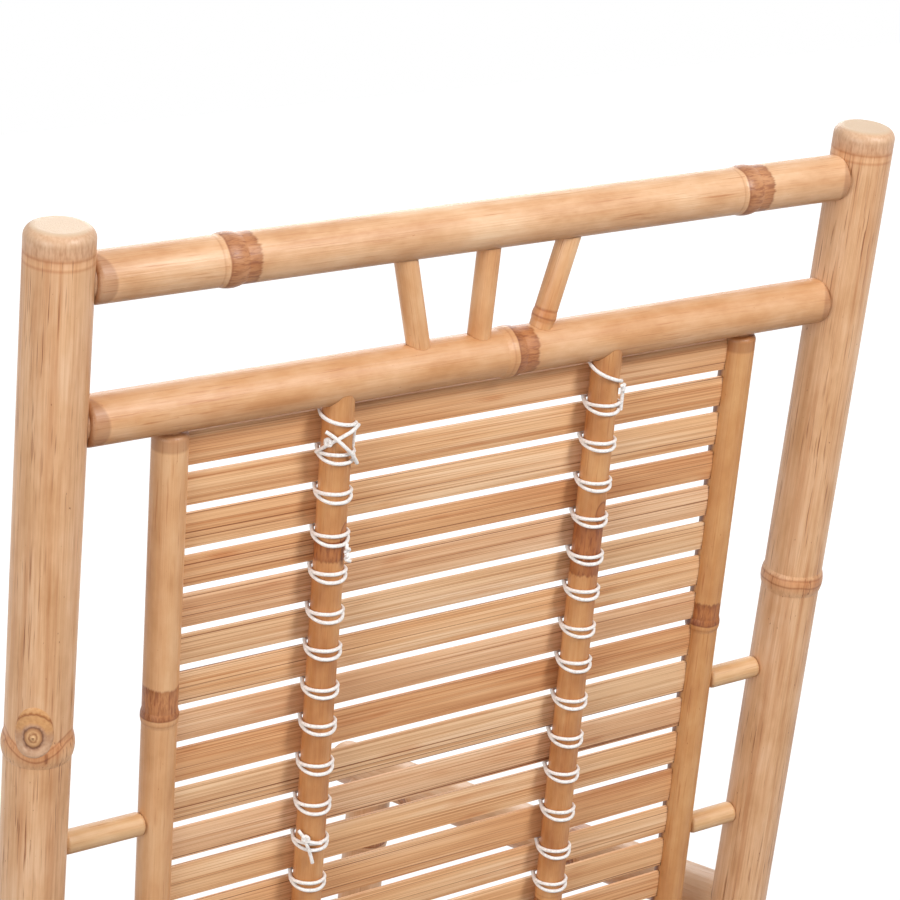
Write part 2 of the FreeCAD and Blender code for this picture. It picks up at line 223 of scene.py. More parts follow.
# Grain of each mark: how many times it changes in a metre across, deep and along the culm
FIBRE_GRAIN = (1100.0, 1100.0, 16.0)
TONE_GRAIN = (48.0, 48.0, 20.0)
STREAK_GRAIN = (230.0, 230.0, 9.0)
HAIR_GRAIN = (900.0, 900.0, 30.0)
DOT_GRAIN = (700.0, 700.0, 300.0)
PATCH_GRAIN = (46.0, 46.0, 14.0)
WAVE_GRAIN = (70.0, 70.0, 70.0)
RAG_GRAIN = (330.0, 330.0, 30.0)
GRIT_GRAIN = (620.0, 620.0, 110.0)
GRIT_TINT = (0.62, 0.48, 0.38, 1.0)
SCAR_SOFT = 0.8 * MM
SCAR_FOOT = (0.2 * MM, 1.2 * MM)
CUT_TINT = (0.74, 0.66, 0.62, 1.0)
CUT_SOFT = 0.8 * MM
VARNISH_WEIGHT = 0.10
VARNISH_ROUGH = 0.30
SKIN_RELIEF = 0.3 * MM


def culm_skin(
    name,
    local,
    tones,
    rings=(),
    look=RIDGE_LOOK,
    seed=0.0,
    pared=(),
    marks=SMOOTH,
    scar=SCAR_LENGTH,
    top=None,
    dip=None,
):
    # Varnished bamboo skin: long fibres, slow changes of tone, brown streaks and flecks, and a scar at each
    # node. A ring is its distance from the foot and the way its scar runs, 1 towards the head. A pared end
    # is the middle of the hollow that the knife left and its radius.
    wire = Wiring(name)
    local = local(wire)
    across, deep, along = wire.split(local)
    fibre = wire.noise(local, FIBRE_GRAIN, 3.0, seed, 0.6)
    tone = wire.noise(local, TONE_GRAIN, 4.0, seed + 3.0, 0.6)
    streak = wire.noise(local, STREAK_GRAIN, 3.0, seed + 7.0, 0.6)
    hair = wire.noise(local, HAIR_GRAIN, 2.0, seed + 11.0)
    dot = wire.noise(local, DOT_GRAIN, 1.0, seed + 12.0)
    patch = wire.noise(local, PATCH_GRAIN, 2.0, seed + 13.0)
    dark, middle, pale = tones
    colour = wire.ramp(tone, ((0.32, dark), (0.5, middle), (0.68, pale)))
    colour = wire.multiply(colour, wire.ramp(fibre, ((0.32, marks["fibre"]), (0.58, WHITE))))
    colour = wire.multiply(colour, wire.ramp(streak, ((0.32, marks["streak"]), (0.54, WHITE))))
    haired = wire.multiply(colour, wire.ramp(hair, ((0.31, marks["hair"]), (0.41, WHITE))))
    colour = wire.mix(colour, haired, wire.ranged(patch, 0.36, 0.56), "MIX")
    colour = wire.multiply(colour, wire.ramp(dot, ((0.20, marks["hair"]), (0.25, WHITE))))
    wave = wire.noise(local, WAVE_GRAIN, 1.0, seed + 15.0)
    ridge_place = wire.sums(along, wire.ranged(wave, 0.2, 0.8, -RIDGE_WAVE, RIDGE_WAVE))
    rag = wire.noise(local, RAG_GRAIN, 4.0, seed + 17.0, 0.65)
    ragged = wire.sums(along, wire.ranged(rag, 0.2, 0.8, -SCAR_RAGGED, SCAR_RAGGED))
    dipped = ridge_place if dip is None else dip(wire, across, deep, ridge_place)
    grit = wire.ramp(
        wire.noise(local, GRIT_GRAIN, 3.0, seed + 19.0, 0.6),
        ((0.36, GRIT_TINT), (0.54, WHITE)),
    )
    stops = [((place * MM + RING_BELOW) / RING_SPAN, tint) for place, tint in look]
    for i, (distance, way) in enumerate(rings):
        spot = dipped if i == 0 else ridge_place
        near = wire.ranged(spot, distance - RING_BELOW * way, distance + RING_ABOVE * way)
        colour = wire.multiply(colour, wire.ramp(near, stops))
        if scar > 0.0:
            foot_edge = wire.ranged(spot, distance + SCAR_FOOT[0] * way, distance + SCAR_FOOT[1] * way)
            far_from = distance + (scar + SCAR_SOFT) * way
            far_edge = wire.ranged(ragged, far_from, distance + (scar - SCAR_SOFT) * way)
            depth = wire.ranged(ragged, distance, distance + scar * way)
            band = wire.sums(foot_edge, far_edge, "MULTIPLY")
            colour = wire.mix(colour, wire.multiply(wire.ramp(depth, SCAR_TINT), grit), band)
    for middle, radius in pared:
        coords = wire.add("ShaderNodeTexCoord")
        gap = wire.add("ShaderNodeVectorMath", operation="DISTANCE")
        gap.inputs[1].default_value = middle
        wire.join(coords.outputs["Object"], gap.inputs[0])
        cut = wire.ranged(gap.outputs["Value"], radius + CUT_SOFT, radius - CUT_SOFT)
        colour = wire.mix(colour, CUT_TINT, cut)
    if top is not None:
        colour = top(wire, local, along, colour)
    rough = wire.ranged(fibre, 0.3, 0.7, 0.52, 0.36)
    wire.shader.inputs["Coat Weight"].default_value = VARNISH_WEIGHT
    wire.shader.inputs["Coat Roughness"].default_value = VARNISH_ROUGH
    return wire.finish(colour, fibre, rough, SKIN_RELIEF)


def straight(foot, head):
    # Coordinates of a straight culm: across, deep and along it
    turn = (head - foot).to_track_quat("Z", "Y").to_euler()
    return lambda wire: wire.local(foot, turn)


def wear(node, material):
    mesh = nodes[node].data
    mesh.materials.clear()
    mesh.materials.append(material)


POST_TONES = (linear(208, 158, 112), linear(224, 177, 134), linear(232, 190, 152))
POST_RINGS = {"left": (-200.0, -540.0, -905.0), "right": (-208.0, -555.0, -890.0)}
TOP_FACE = 1.2 * MM
TOP_SHOULDER = 9.0 * MM
TOP_LINE = 14.0 * MM
TOP_BAND = 21.0 * MM
TOP_GRAIN = (700.0, 700.0, 160.0)


def post_top(wire, local, along, colour):
    # Sanded node plate, pale and grey, over a frosted band with fine upright marks and two thin lines
    marks = wire.noise(local, TOP_GRAIN, 2.0, 2.0)
    frost = wire.ramp(marks, ((0.35, linear(190, 140, 102)), (0.62, linear(216, 172, 136))))
    below = wire.ranged(along, POST_LENGTH - TOP_BAND, POST_LENGTH)
    edge = TOP_BAND
    shade = wire.ramp(
        below,
        (
            (0.0, WHITE),
            ((edge - 19.5 * MM) / edge, (0.86, 0.70, 0.58, 1.0)),
            ((edge - 18.0 * MM) / edge, (1.06, 1.04, 1.02, 1.0)),
            ((edge - 15.6 * MM) / edge, (1.0, 0.95, 0.92, 1.0)),
            ((edge - 14.4 * MM) / edge, (0.78, 0.60, 0.47, 1.0)),
            ((edge - 13.0 * MM) / edge, (0.94, 0.88, 0.83, 1.0)),
            ((edge - 8.0 * MM) / edge, WHITE),
        ),
    )
    frosted = wire.ranged(along, POST_LENGTH - TOP_LINE - 1.0 * MM, POST_LENGTH - TOP_LINE + 2.0 * MM)
    colour = wire.mix(colour, frost, frosted, "MIX")
    colour = wire.multiply(colour, shade)
    pale = wire.ramp(marks, ((0.3, linear(200, 156, 120)), (0.7, linear(214, 176, 142))))
    shoulder = wire.ranged(along, POST_LENGTH - TOP_SHOULDER, POST_LENGTH - 0.5 * TOP_SHOULDER)
    colour = wire.mix(colour, pale, shoulder, "MIX")
    face = wire.ranged(along, POST_LENGTH - TOP_FACE, POST_LENGTH - 0.2 * MM)
    return wire.mix(colour, linear(212, 182, 150), face, "MIX")


# The bud sits on the left post's upper ring, turned a little away from the middle of the chair
BUD_TURN = math.radians(35.0)
BUD_HEIGHT = -186.0 * MM
BUD_OUT = BACK_OUT * math.cos(BUD_TURN) - BACK_ACROSS * math.sin(BUD_TURN)
BUD_SIDE = BACK_UP.cross(BUD_OUT)
BUD_DIP = 9.0 * MM
BUD_REACH = 18.0 * MM
BUD_RING_RISE = 7.0 * MM


def left_dip(foot, head):
    # The ring runs down in a round dip under the bud
    turn = (head - foot).to_track_quat("Z", "Y").inverted()
    side = turn @ BUD_SIDE
    out = turn @ BUD_OUT

    def lower(wire, across, deep, along):
        aside = wire.sums(wire.sums(across, side.x, "MULTIPLY"), wire.sums(deep, side.y, "MULTIPLY"))
        facing = wire.sums(wire.sums(across, out.x, "MULTIPLY"), wire.sums(deep, out.y, "MULTIPLY"))
        near = wire.ranged(wire.sums(aside, aside, "MULTIPLY"), 0.0, BUD_REACH * BUD_REACH, BUD_DIP, 0.0)
        seen = wire.ranged(facing, 0.0, 4.0 * MM)
        dip = wire.sums(near, seen, "MULTIPLY")
        return wire.sums(wire.sums(along, -BUD_RING_RISE), dip)

    return lower


for side, across, seed in (("left", -POST_SPACING / 2.0, 1.3), ("right", POST_SPACING / 2.0, 5.7)):
    foot = back_point(across, POST_FOOT, 0.0)
    head = back_point(across, POST_TOP, 0.0)
    rings = [(height * MM - POST_FOOT, 1.0) for height in POST_RINGS[side]]
    dip = left_dip(foot, head) if side == "left" else None
    skin = culm_skin(
        side + "_post_skin",
        straight(foot, head),
        POST_TONES,
        rings,
        look=LINE_LOOK,
        seed=seed,
        marks=FLECKED,
        scar=0.0,
        top=post_top,
        dip=dip,
    )
    wear(side + "_rear_post", skin)

# Bud on the left post
# The scar of an old branch: a shield of bark round a small ringed eye. It grew on the culm, so it swells
# out of the skin.
# The eye from its middle to its rim: how far out and how high, in millimetres
EYE = (
    (0.0, 1.9),
    (1.1, 2.2),
    (1.8, 1.4),
    (2.8, 2.0),
    (3.7, 1.3),
    (4.7, 1.8),
    (6.0, 0.9),
    (8.5, 0.6),
    (10.6, 0.8),
    (11.7, 0.3),
    (12.4, -0.8),
)
EYE_RIM = 12.4
EYE_ROUND = 5.0
SHIELD_RISE = 0.66
SHIELD_FALL = 0.12
BUD_SWELL = 1.6 * MM
BUD_SWELL_HALF = 8.0 * MM
BUD_STEPS = 40
BARK_GRAIN = (420.0, 420.0, 420.0)
BARK_RAGGED = 0.35 * MM
BARK_RELIEF = 0.4 * MM
EYE_SQUASH = 0.82
bud_shape = bmesh.new()
profile = [bud_shape.verts.new((radius, 0.0, height)) for radius, height in EYE]
edges = [bud_shape.edges.new(pair) for pair in zip(profile, profile[1:])]
bmesh.ops.spin(
    bud_shape,
    geom=profile + edges,
    cent=(0.0, 0.0, 0.0),
    axis=(0.0, 0.0, 1.0),
    angle=2.0 * math.pi,
    steps=BUD_STEPS,
    use_merge=True,
)
bmesh.ops.remove_doubles(bud_shape, verts=bud_shape.verts, dist=0.001)
bmesh.ops.recalc_face_normals(bud_shape, faces=bud_shape.faces)
for vert in bud_shape.verts:
    x, y, z = vert.co
    outer = max(0.0, (math.hypot(x, y) - EYE_ROUND) / (EYE_RIM - EYE_ROUND))
    y *= 1.0 + outer * (SHIELD_RISE if y > 0.0 else SHIELD_FALL)
    height = BUD_HEIGHT + y * MM
    from_ring = (height - POST_RINGS["left"][0] * MM) / BUD_SWELL_HALF
    swell = BUD_SWELL * max(0.0, 1.0 - from_ring * from_ring)
    turn = x * MM / POST_RADIUS
    out = BUD_OUT * math.cos(turn) + BUD_SIDE * math.sin(turn)
    vert.co = back_point(-POST_SPACING / 2.0, height, 0.0) + out * (POST_RADIUS + swell + z * MM)
for face in bud_shape.faces:
    face.smooth = True
bud_mesh = bpy.data.meshes.new("left_post_bud")
bud_shape.to_mesh(bud_mesh)
bud_shape.free()
bud = bpy.data.objects.new("left_post_bud", bud_mesh)
bpy.context.scene.collection.objects.link(bud)
bark = Wiring("bud_bark")
bud_axes = Matrix((BUD_SIDE, BACK_UP, BUD_OUT)).transposed().to_euler()
bud_local = bark.local(back_point(-POST_SPACING / 2.0, BUD_HEIGHT, 0.0) + BUD_OUT * POST_RADIUS, bud_axes)
aside, above, out = bark.split(bud_local)
flat = bark.combine(aside, bark.sums(above, EYE_SQUASH, "MULTIPLY"), bark.sums(out, 0.0, "MULTIPLY"))
spread = bark.add("ShaderNodeVectorMath", operation="LENGTH")
bark.join(flat, spread.inputs[0])
blotch = bark.noise(bud_local, BARK_GRAIN, 3.0, 6.0)
reach = bark.sums(spread.outputs["Value"], bark.ranged(blotch, 0.3, 0.7, -BARK_RAGGED, BARK_RAGGED))
share = bark.ranged(reach, 0.0, EYE_RIM * 1.1 * MM)
eye_colour = bark.ramp(
    share,
    (
        (0.0, linear(140, 92, 56)),
        (0.08, linear(232, 188, 138)),
        (0.16, linear(166, 112, 70)),
        (0.24, linear(224, 176, 126)),
        (0.33, linear(188, 136, 92)),
        (0.40, linear(116, 74, 48)),
        (0.47, linear(184, 140, 110)),
    ),
)
shield_colour = bark.ramp(
    bark.ranged(above, -6.0 * MM, 8.0 * MM),
    (
        (0.0, linear(204, 164, 132)),
        (0.45, linear(200, 154, 118)),
        (0.75, linear(206, 152, 100)),
        (1.0, linear(212, 158, 104)),
    ),
)
bark_colour = bark.mix(eye_colour, shield_colour, bark.ranged(share, 0.46, 0.58), "MIX")
rim = bark.ramp(
    share,
    (
        (0.84, WHITE),
        (0.90, (0.52, 0.36, 0.26, 1.0)),
        (0.94, (0.70, 0.54, 0.42, 1.0)),
        (1.0, WHITE),
    ),
)
bark_colour = bark.multiply(bark_colour, rim)
bark_colour = bark.multiply(bark_colour, bark.ramp(blotch, ((0.3, (0.84, 0.76, 0.70, 1.0)), (0.62, WHITE))))
bark_rough = bark.ranged(blotch, 0.3, 0.7, 0.6, 0.45)
bud_mesh.materials.append(bark.finish(bark_colour, blotch, bark_rough, BARK_RELIEF))
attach(bud, "root")

# Front legs and arms
# Culms a little thinner than the posts, with the skin left on. The arms are let into the posts and sit on
# the tops of the legs.
ARM_HEIGHT = 510.0 * MM
ARM_BACK = 252.4 * MM
ARM_LENGTH = 543.5 * MM
ARM_TO_LEG = 498.5 * MM
ARM_CUT = 19.2 * MM
LEG_LENGTH = 402.0 * MM
LEG_RINGS = {"left": (75.0, 322.0), "right": (68.0, 316.0)}
ARM_RINGS = {"left": (160.0, 405.0), "right": (175.0, 415.0)}
for side, x, seed in (("left", POST_SPACING / 2.0, 9.1), ("right", -POST_SPACING / 2.0, 12.4)):
    post_end = Vector((x, ARM_BACK, ARM_HEIGHT))
    front_end = post_end + Vector((0.0, -ARM_LENGTH, 0.0))
    rings = [(distance * MM, 1.0) for distance in ARM_RINGS[side]]
    pared = ((front_end, ARM_CUT),)
    run = straight(post_end, front_end)
    wear(side + "_arm", culm_skin(side + "_arm_skin", run, POST_TONES, rings, seed=seed, pared=pared))
    leg_head = post_end + Vector((0.0, -ARM_TO_LEG, 0.0))
    leg_foot = leg_head - BACK_UP * LEG_LENGTH
    rings = [(LEG_LENGTH - distance * MM, 1.0) for distance in LEG_RINGS[side]]
    run = straight(leg_foot, leg_head)
    wear(side + "_front_leg", culm_skin(side + "_leg_skin", run, POST_TONES, rings, seed=seed + 2.0))

# Rockers
# Culms bent over a flame to a long arc. Legs and posts are pegged into them, and the rings are dressed
# flush below.
ROCKER_ARC = 900.0 * MM
ROCKER_MIDDLE = 83.0 * MM
ROCKER_CENTRE_HEIGHT = 920.0 * MM
ROCKER_RINGS = {"left": (-19.0, -6.0, 8.0, 19.5), "right": (-17.5, -5.0, 9.0, 20.0)}


def bent(x):
    # Coordinates of a rocker: across, out from the arc and along it
    def wrap(wire):
        centred = wire.local(Vector((x, ROCKER_MIDDLE, ROCKER_CENTRE_HEIGHT)), (0.0, 0.0, 0.0))
        aside, forth, up = wire.split(centred)
        angle = wire.sums(forth, wire.sums(up, -1.0, "MULTIPLY"), "ARCTAN2")
        square = wire.sums(wire.sums(forth, forth, "MULTIPLY"), wire.sums(up, up, "MULTIPLY"))
        reach = wire.sums(square, 0.5, "POWER")
        return wire.combine(aside, wire.sums(reach, -ROCKER_ARC), wire.sums(angle, ROCKER_ARC, "MULTIPLY"))

    return wrap


for side, x, seed in (("left", POST_SPACING / 2.0, 21.0), ("right", -POST_SPACING / 2.0, 25.0)):
    rings = [(math.radians(angle) * ROCKER_ARC, 1.0) for angle in ROCKER_RINGS[side]]
    wear(side + "_rocker", culm_skin(side + "_rocker_skin", bent(x), POST_TONES, rings, seed=seed))

# Rails and stretchers
# Middling culms whittled round at their ends and pegged into the posts and legs. The two upper ones are
# the hand holds.
RAIL_TONES = (linear(192, 134, 82), linear(209, 156, 108), linear(222, 176, 134))
TOP_RAIL_SCAR = 21.0 * MM
TOP_RAIL_TONES = (linear(202, 150, 104), linear(220, 174, 132), linear(232, 194, 156))
HALF_SPAN = POST_SPACING / 2.0
TOP_RAIL = 85.5 * MM
RAIL_CUT = 29.0 * MM
RAIL_CUT_FAR = 25.0 * MM
RAIL_CUT_OUT = 15.0 * MM
SEAT_DROP = -667.0 * MM
REAR_STRETCHER_DROP = -800.0 * MM
SEAT_FRONT_DROP = 145.0 * MM
FRONT_STRETCHER_DROP = 265.0 * MM
SIDE_RAIL_DROP = 40.0 * MM


def on_leg(drop):
    return Vector((0.0, ARM_BACK - ARM_TO_LEG, ARM_HEIGHT)) - BACK_UP * drop


for node, centre, rings, seed in (
    ("top_rail", back_point(0.0, TOP_RAIL, 0.0), (99.0, 475.0), 31.0),
    ("second_rail", back_point(0.0, 0.0, 0.0), (308.0,), 35.5),
    ("seat_rear_rail", back_point(0.0, SEAT_DROP, 0.0), (118.0, 405.0), 38.2),
    ("rear_stretcher", back_point(0.0, REAR_STRETCHER_DROP, 0.0), (165.0, 440.0), 41.0),
    ("seat_front_rail", on_leg(SEAT_FRONT_DROP), (170.0, 455.0), 44.0),
    ("front_stretcher", on_leg(FRONT_STRETCHER_DROP), (140.0, 420.0), 47.0),
):
    foot = centre - BACK_ACROSS * HALF_SPAN
    head = centre + BACK_ACROSS * HALF_SPAN
    rings = [(distance * MM, 1.0) for distance in rings]
    pared = [(end + BACK_OUT * RAIL_CUT_OUT, cut) for end, cut in ((foot, RAIL_CUT), (head, RAIL_CUT_FAR))]
    tones = TOP_RAIL_TONES if node == "top_rail" else RAIL_TONES
    scar = TOP_RAIL_SCAR if node == "top_rail" else SCAR_LENGTH
    run = straight(foot, head)
    wear(node, culm_skin(node + "_skin", run, tones, rings, seed=seed, pared=pared, scar=scar))
SIDE_RAIL_RINGS = {"left": (130.0, 370.0), "right": (150.0, 385.0)}
for side, x, seed in (("left", HALF_SPAN, 51.0), ("right", -HALF_SPAN, 55.0)):
    foot = back_point(-x, SEAT_DROP - SIDE_RAIL_DROP, 0.0)
    head = on_leg(SEAT_FRONT_DROP + SIDE_RAIL_DROP) + Vector((x, 0.0, 0.0))
    rings = [(distance * MM, 1.0) for distance in SIDE_RAIL_RINGS[side]]
    pared = ((foot, RAIL_CUT), (head, RAIL_CUT))
    run = straight(foot, head)
    skin = culm_skin(side + "_side_rail_skin", run, RAIL_TONES, rings, seed=seed, pared=pared)
    wear(side + "_seat_side_rail", skin)

# Fan of spindles
# Three thin canes let into the two upper rails, spread at the top like a fan. Each has its skin left on,
# and the right one has a node near its foot.
SPINDLE_TONES = (linear(204, 146, 94), linear(218, 164, 114), linear(230, 184, 138))
for word, low, high, rings, seed in (
    ("left", -44.0, -66.5, (), 61.0),
    ("centre", -3.5, -2.5, (), 64.0),
    ("right", 40.0, 60.5, (21.0,), 67.0),
):
    foot = back_point(low * MM, 0.0, 0.0)
    head = back_point(high * MM, TOP_RAIL, 0.0)
    rings = [(distance * MM, 1.0) for distance in rings]
    run = straight(foot, head)
    skin = culm_skin("spindle_skin_" + word, run, SPINDLE_TONES, rings, look=LINE_LOOK, seed=seed, scar=0.0)
    wear("fan_spindle_" + word, skin)

# Side poles and pegs
# Thin culms slotted for the slat ends, held out from the posts by short pegs. The back's panel stands a
# little askew.
SIDE_POLE = 212.1 * MM
SLAT_PLANE = -6.3 * MM
PANEL_SHIFT = 1.1 * MM
PANEL_LEAN = 0.025
PEG_FALL = 4.9 * MM
PEG_HEIGHTS = (("upper", -275.0 * MM), ("lower", -394.0 * MM))
SEAT_FRONT = on_leg(SEAT_FRONT_DROP)
SEAT_REAR = back_point(0.0, SEAT_DROP, 0.0)
SEAT_LENGTH = (SEAT_FRONT - SEAT_REAR).length
SEAT_UP = (SEAT_FRONT - SEAT_REAR).normalized()
SEAT_ACROSS = Vector((1.0, 0.0, 0.0))
SEAT_OUT = SEAT_ACROSS.cross(SEAT_UP)
# Side pole tones, dark to pale. The right poles' are darker and more orange than the left's: partly their
# own tone, partly painted shade for the shadow on the back's right pole.
SIDE_TONES = {
    "left": (linear(200, 146, 96), linear(216, 164, 116), linear(226, 180, 134)),
    "right": (linear(190, 130, 76), linear(205, 148, 92), linear(216, 164, 110)),
}
PEG_TONES = (linear(196, 150, 100), linear(212, 168, 120), linear(224, 184, 140))
SIDE_CUT = 30.0 * MM
SIDE_SCAR = {"left": 22.0 * MM, "right": 17.0 * MM}
BACK_POLE_RINGS = {"left": (205.5, 480.0), "right": (231.5, 505.0)}
SEAT_POLE_RINGS = {"left": (150.0, 390.0), "right": (120.0, 345.0)}


def panel_point(u, v, w):
    return back_point(u + PANEL_SHIFT - PANEL_LEAN * v, v, w)


def seat_point(u, v, w):
    return SEAT_FRONT + SEAT_ACROSS * u + SEAT_UP * v + SEAT_OUT * w


# Colour of the painted shade on the inner side of the back's side poles, and where that shade starts and
# ends
PAINTED_INNER_SHADE = (0.36, 0.26, 0.19, 1.0)
INNER_FROM = 8.2 * MM
INNER_TO = 9.8 * MM
INNER_ACROSS = 0.83
INNER_FRONT = 0.56
PANEL_TURN = Matrix((BACK_ACROSS, BACK_UP, BACK_OUT)).transposed().to_euler()


def painted_inner_shade(way):
    # Painted shade: a dark band on the pole's inner side towards the sitter, where the slats enter it,
    # stands in for the shadow that falls there between the slats
    def shade(wire, local, along, colour):
        lean = wire.local(panel_point(way * SIDE_POLE, 0.0, SLAT_PLANE), PANEL_TURN)
        across, up, out = wire.split(lean)
        level = wire.sums(across, wire.sums(up, -PANEL_LEAN, "MULTIPLY"), "SUBTRACT")
        inward = wire.sums(level, -way * INNER_ACROSS, "MULTIPLY")
        reach = wire.sums(inward, wire.sums(out, -INNER_FRONT, "MULTIPLY"))
        return wire.mix(colour, PAINTED_INNER_SHADE, wire.ranged(reach, INNER_FROM, INNER_TO))

    return shade


for word, way, seed in (("left", -1.0, 71.0), ("right", 1.0, 75.0)):
    for panel, place, length, ring_sets in (
        ("back", panel_point, -SEAT_DROP, BACK_POLE_RINGS),
        ("seat", seat_point, SEAT_LENGTH, SEAT_POLE_RINGS),
    ):
        foot = place(way * SIDE_POLE, 0.0, SLAT_PLANE)
        head = place(way * SIDE_POLE, -length, SLAT_PLANE)
        rings = [(distance * MM, -1.0) for distance in ring_sets[word]]
        pared = ((foot, SIDE_CUT), (head, SIDE_CUT))
        name = "%s_side_pole_%s" % (panel, word)
        skin = culm_skin(
            name + "_skin",
            straight(foot, head),
            SIDE_TONES[word],
            rings,
            seed=seed + length,
            pared=pared,
            scar=SIDE_SCAR[word],
            # Painted shade on the inner side of the back's side poles
            top=painted_inner_shade(way) if panel == "back" else None,
        )
        wear(name, skin)
    for level, v in PEG_HEIGHTS:
        foot = back_point(way * HALF_SPAN, v, 0.0)
        head = panel_point(way * SIDE_POLE, v - PEG_FALL, SLAT_PLANE)
        name = "back_dowel_%s_%s" % (word, level)
        wear(name, culm_skin(name + "_skin", straight(foot, head), PEG_TONES, seed=seed + 5.0 + v))

# Lacing poles
# Thin canes behind the slats, smoked darker than the frame. Their ends are scribed to lie against the
# rails, and only the cord holds them, tying every slat to them.
LACING_POLES = (("left", -105.7 * MM), ("right", 93.3 * MM))
LACING_OUT = 5.2 * MM
LACING_RADIUS = 9.5 * MM
BACK_LACING = 650.0 * MM
SEAT_LACING = 470.0 * MM
LACING_TONES = (linear(172, 110, 58), linear(194, 134, 80), linear(212, 158, 104))
LACING_RINGS = {"left": (99.5, 372.0), "right": (126.0, 415.0)}
LACING_SCAR = {"left": 15.0 * MM, "right": 38.0 * MM}
MARK_SPREAD = (1.0 / (5.0 * MM), 1.0 / (9.0 * MM), 1.0 / (9.0 * MM))
MARK_PLACES = {"left": (-100.0 * MM, -97.0 * MM), "right": (95.5 * MM, -119.0 * MM)}


def bud_mark(word):
    # A pointed arch where a leaf bud lay against the cane
    u, v = MARK_PLACES[word]
    middle = panel_point(u, v, LACING_OUT + LACING_RADIUS)

    def draw(wire, local, along, colour):
        spread = wire.add("ShaderNodeVectorMath", operation="LENGTH")
        wire.join(wire.stretched(wire.local(middle, PANEL_TURN), MARK_SPREAD), spread.inputs[0])
        look = (
            (0.0, (0.84, 0.70, 0.56, 1.0)),
            (0.60, (0.88, 0.75, 0.61, 1.0)),
            (0.72, (0.50, 0.34, 0.23, 1.0)),
            (0.82, WHITE),
        )
        return wire.multiply(colour, wire.ramp(wire.ranged(spread.outputs["Value"], 0.0, 1.25), look))

    return draw


for word, u in LACING_POLES:
    for panel, place, length in (("back", panel_point, BACK_LACING), ("seat", seat_point, SEAT_LACING)):
        foot = place(u, 0.0, LACING_OUT)
        head = place(u, -length, LACING_OUT)
        rings = [(distance * MM, 1.0) for distance in LACING_RINGS[word]]
        mark = bud_mark(word) if panel == "back" else None
        name = "%s_lacing_pole_%s" % (panel, word)
        seed = 80.0 + 100.0 * u + length
        skin = culm_skin(
            name + "_skin",
            straight(foot, head),
            LACING_TONES,
            rings,
            seed=seed,
            scar=LACING_SCAR[word],
            top=mark,
        )
        wear(name, skin)

# Slats
# Strips split from thick culms and planed on the inside, with their ends in the side poles. The fibres show
# as long fine lines, and each strip has its own tone.
SLAT_FIRST = 20.3 * MM
SLAT_GAP = 5.5 * MM
SLAT_HALF_THICK = 1.75 * MM
BACK_WIDTHS = (
    21.4, 20.4, 22.7, 19.9, 21.8, 19.9, 22.1, 20.2, 23.1, 23.4, 21.9, 24.5,
    25.2, 21.2, 22.2, 20.7, 21.7, 20.2, 22.2, 21.2, 21.7, 20.7, 21.7,
)
SEAT_WIDTHS = (23.2, 22.2, 23.7, 22.7) * 4
SLAT_TONES = {
    "honey": (linear(226, 172, 122), linear(238, 190, 142), linear(245, 205, 164)),
    "tan": (linear(222, 172, 128), linear(234, 188, 146), linear(242, 202, 164)),
    "russet": (linear(212, 152, 102), linear(228, 174, 124), linear(238, 192, 148)),
    "pale": (linear(230, 186, 142), linear(240, 200, 158), linear(247, 212, 176)),
}
SLAT_ORDER = (
    "russet", "honey", "honey", "russet", "tan", "pale",
    "honey", "tan", "russet", "pale", "tan", "honey",
)
# Grain of each mark: how many times it changes in a metre along, across and through the strip
STRIP_GRAIN = (6.0, 90.0, 90.0)
BAND_GRAIN = (2.0, 420.0, 420.0)
SPLIT_GRAIN = (5.0, 1500.0, 1500.0)
LINE_GRAIN = (1.6, 900.0, 900.0)
BRUISE_GRAIN = (16.0, 120.0, 120.0)
STRIP_TINTS = ((0.0, (0.80, 0.72, 0.66, 1.0)), (0.5, (0.93, 0.89, 0.86, 1.0)), (1.0, WHITE))
SPLIT_RELIEF = 0.35 * MM


def split_skin(name, place, turn, tones, seed, strips=None):
    # Split strip: fine dark fibre lines that run its whole length, over a slow change of tone
    wire = Wiring(name)
    local = wire.local(place, turn)
    tone = wire.noise(local, STRIP_GRAIN, 2.0, seed)
    band = wire.noise(local, BAND_GRAIN, 3.0, seed + 2.0, 0.65)
    fibre = wire.noise(local, SPLIT_GRAIN, 2.0, seed + 5.0, 0.6)
    line = wire.noise(local, LINE_GRAIN, 1.0, seed + 9.0)
    bruise = wire.noise(local, BRUISE_GRAIN, 2.0, seed + 12.0)
    dark, middle, pale = tones
    colour = wire.ramp(tone, ((0.34, dark), (0.5, middle), (0.66, pale)))
    if strips is not None:
        along = wire.split(local)[1]
        count = wire.sums(wire.sums(along, -1.0 / strips, "MULTIPLY"), 0.5, "FLOOR")
        chance = wire.add("ShaderNodeTexWhiteNoise", noise_dimensions="1D")
        wire.join(count, chance.inputs["W"])
        colour = wire.multiply(colour, wire.ramp(chance.outputs["Value"], STRIP_TINTS))
    colour = wire.multiply(colour, wire.ramp(band, ((0.34, (0.80, 0.66, 0.54, 1.0)), (0.52, WHITE))))
    colour = wire.multiply(colour, wire.ramp(fibre, ((0.34, (0.72, 0.58, 0.47, 1.0)), (0.54, WHITE))))
    colour = wire.multiply(colour, wire.ramp(line, ((0.31, (0.36, 0.22, 0.13, 1.0)), (0.37, WHITE))))
    colour = wire.multiply(colour, wire.ramp(bruise, ((0.26, (0.86, 0.70, 0.58, 1.0)), (0.40, WHITE))))
    rough = wire.ranged(fibre, 0.3, 0.7, 0.66, 0.50)
    return wire.finish(colour, fibre, rough, SPLIT_RELIEF)


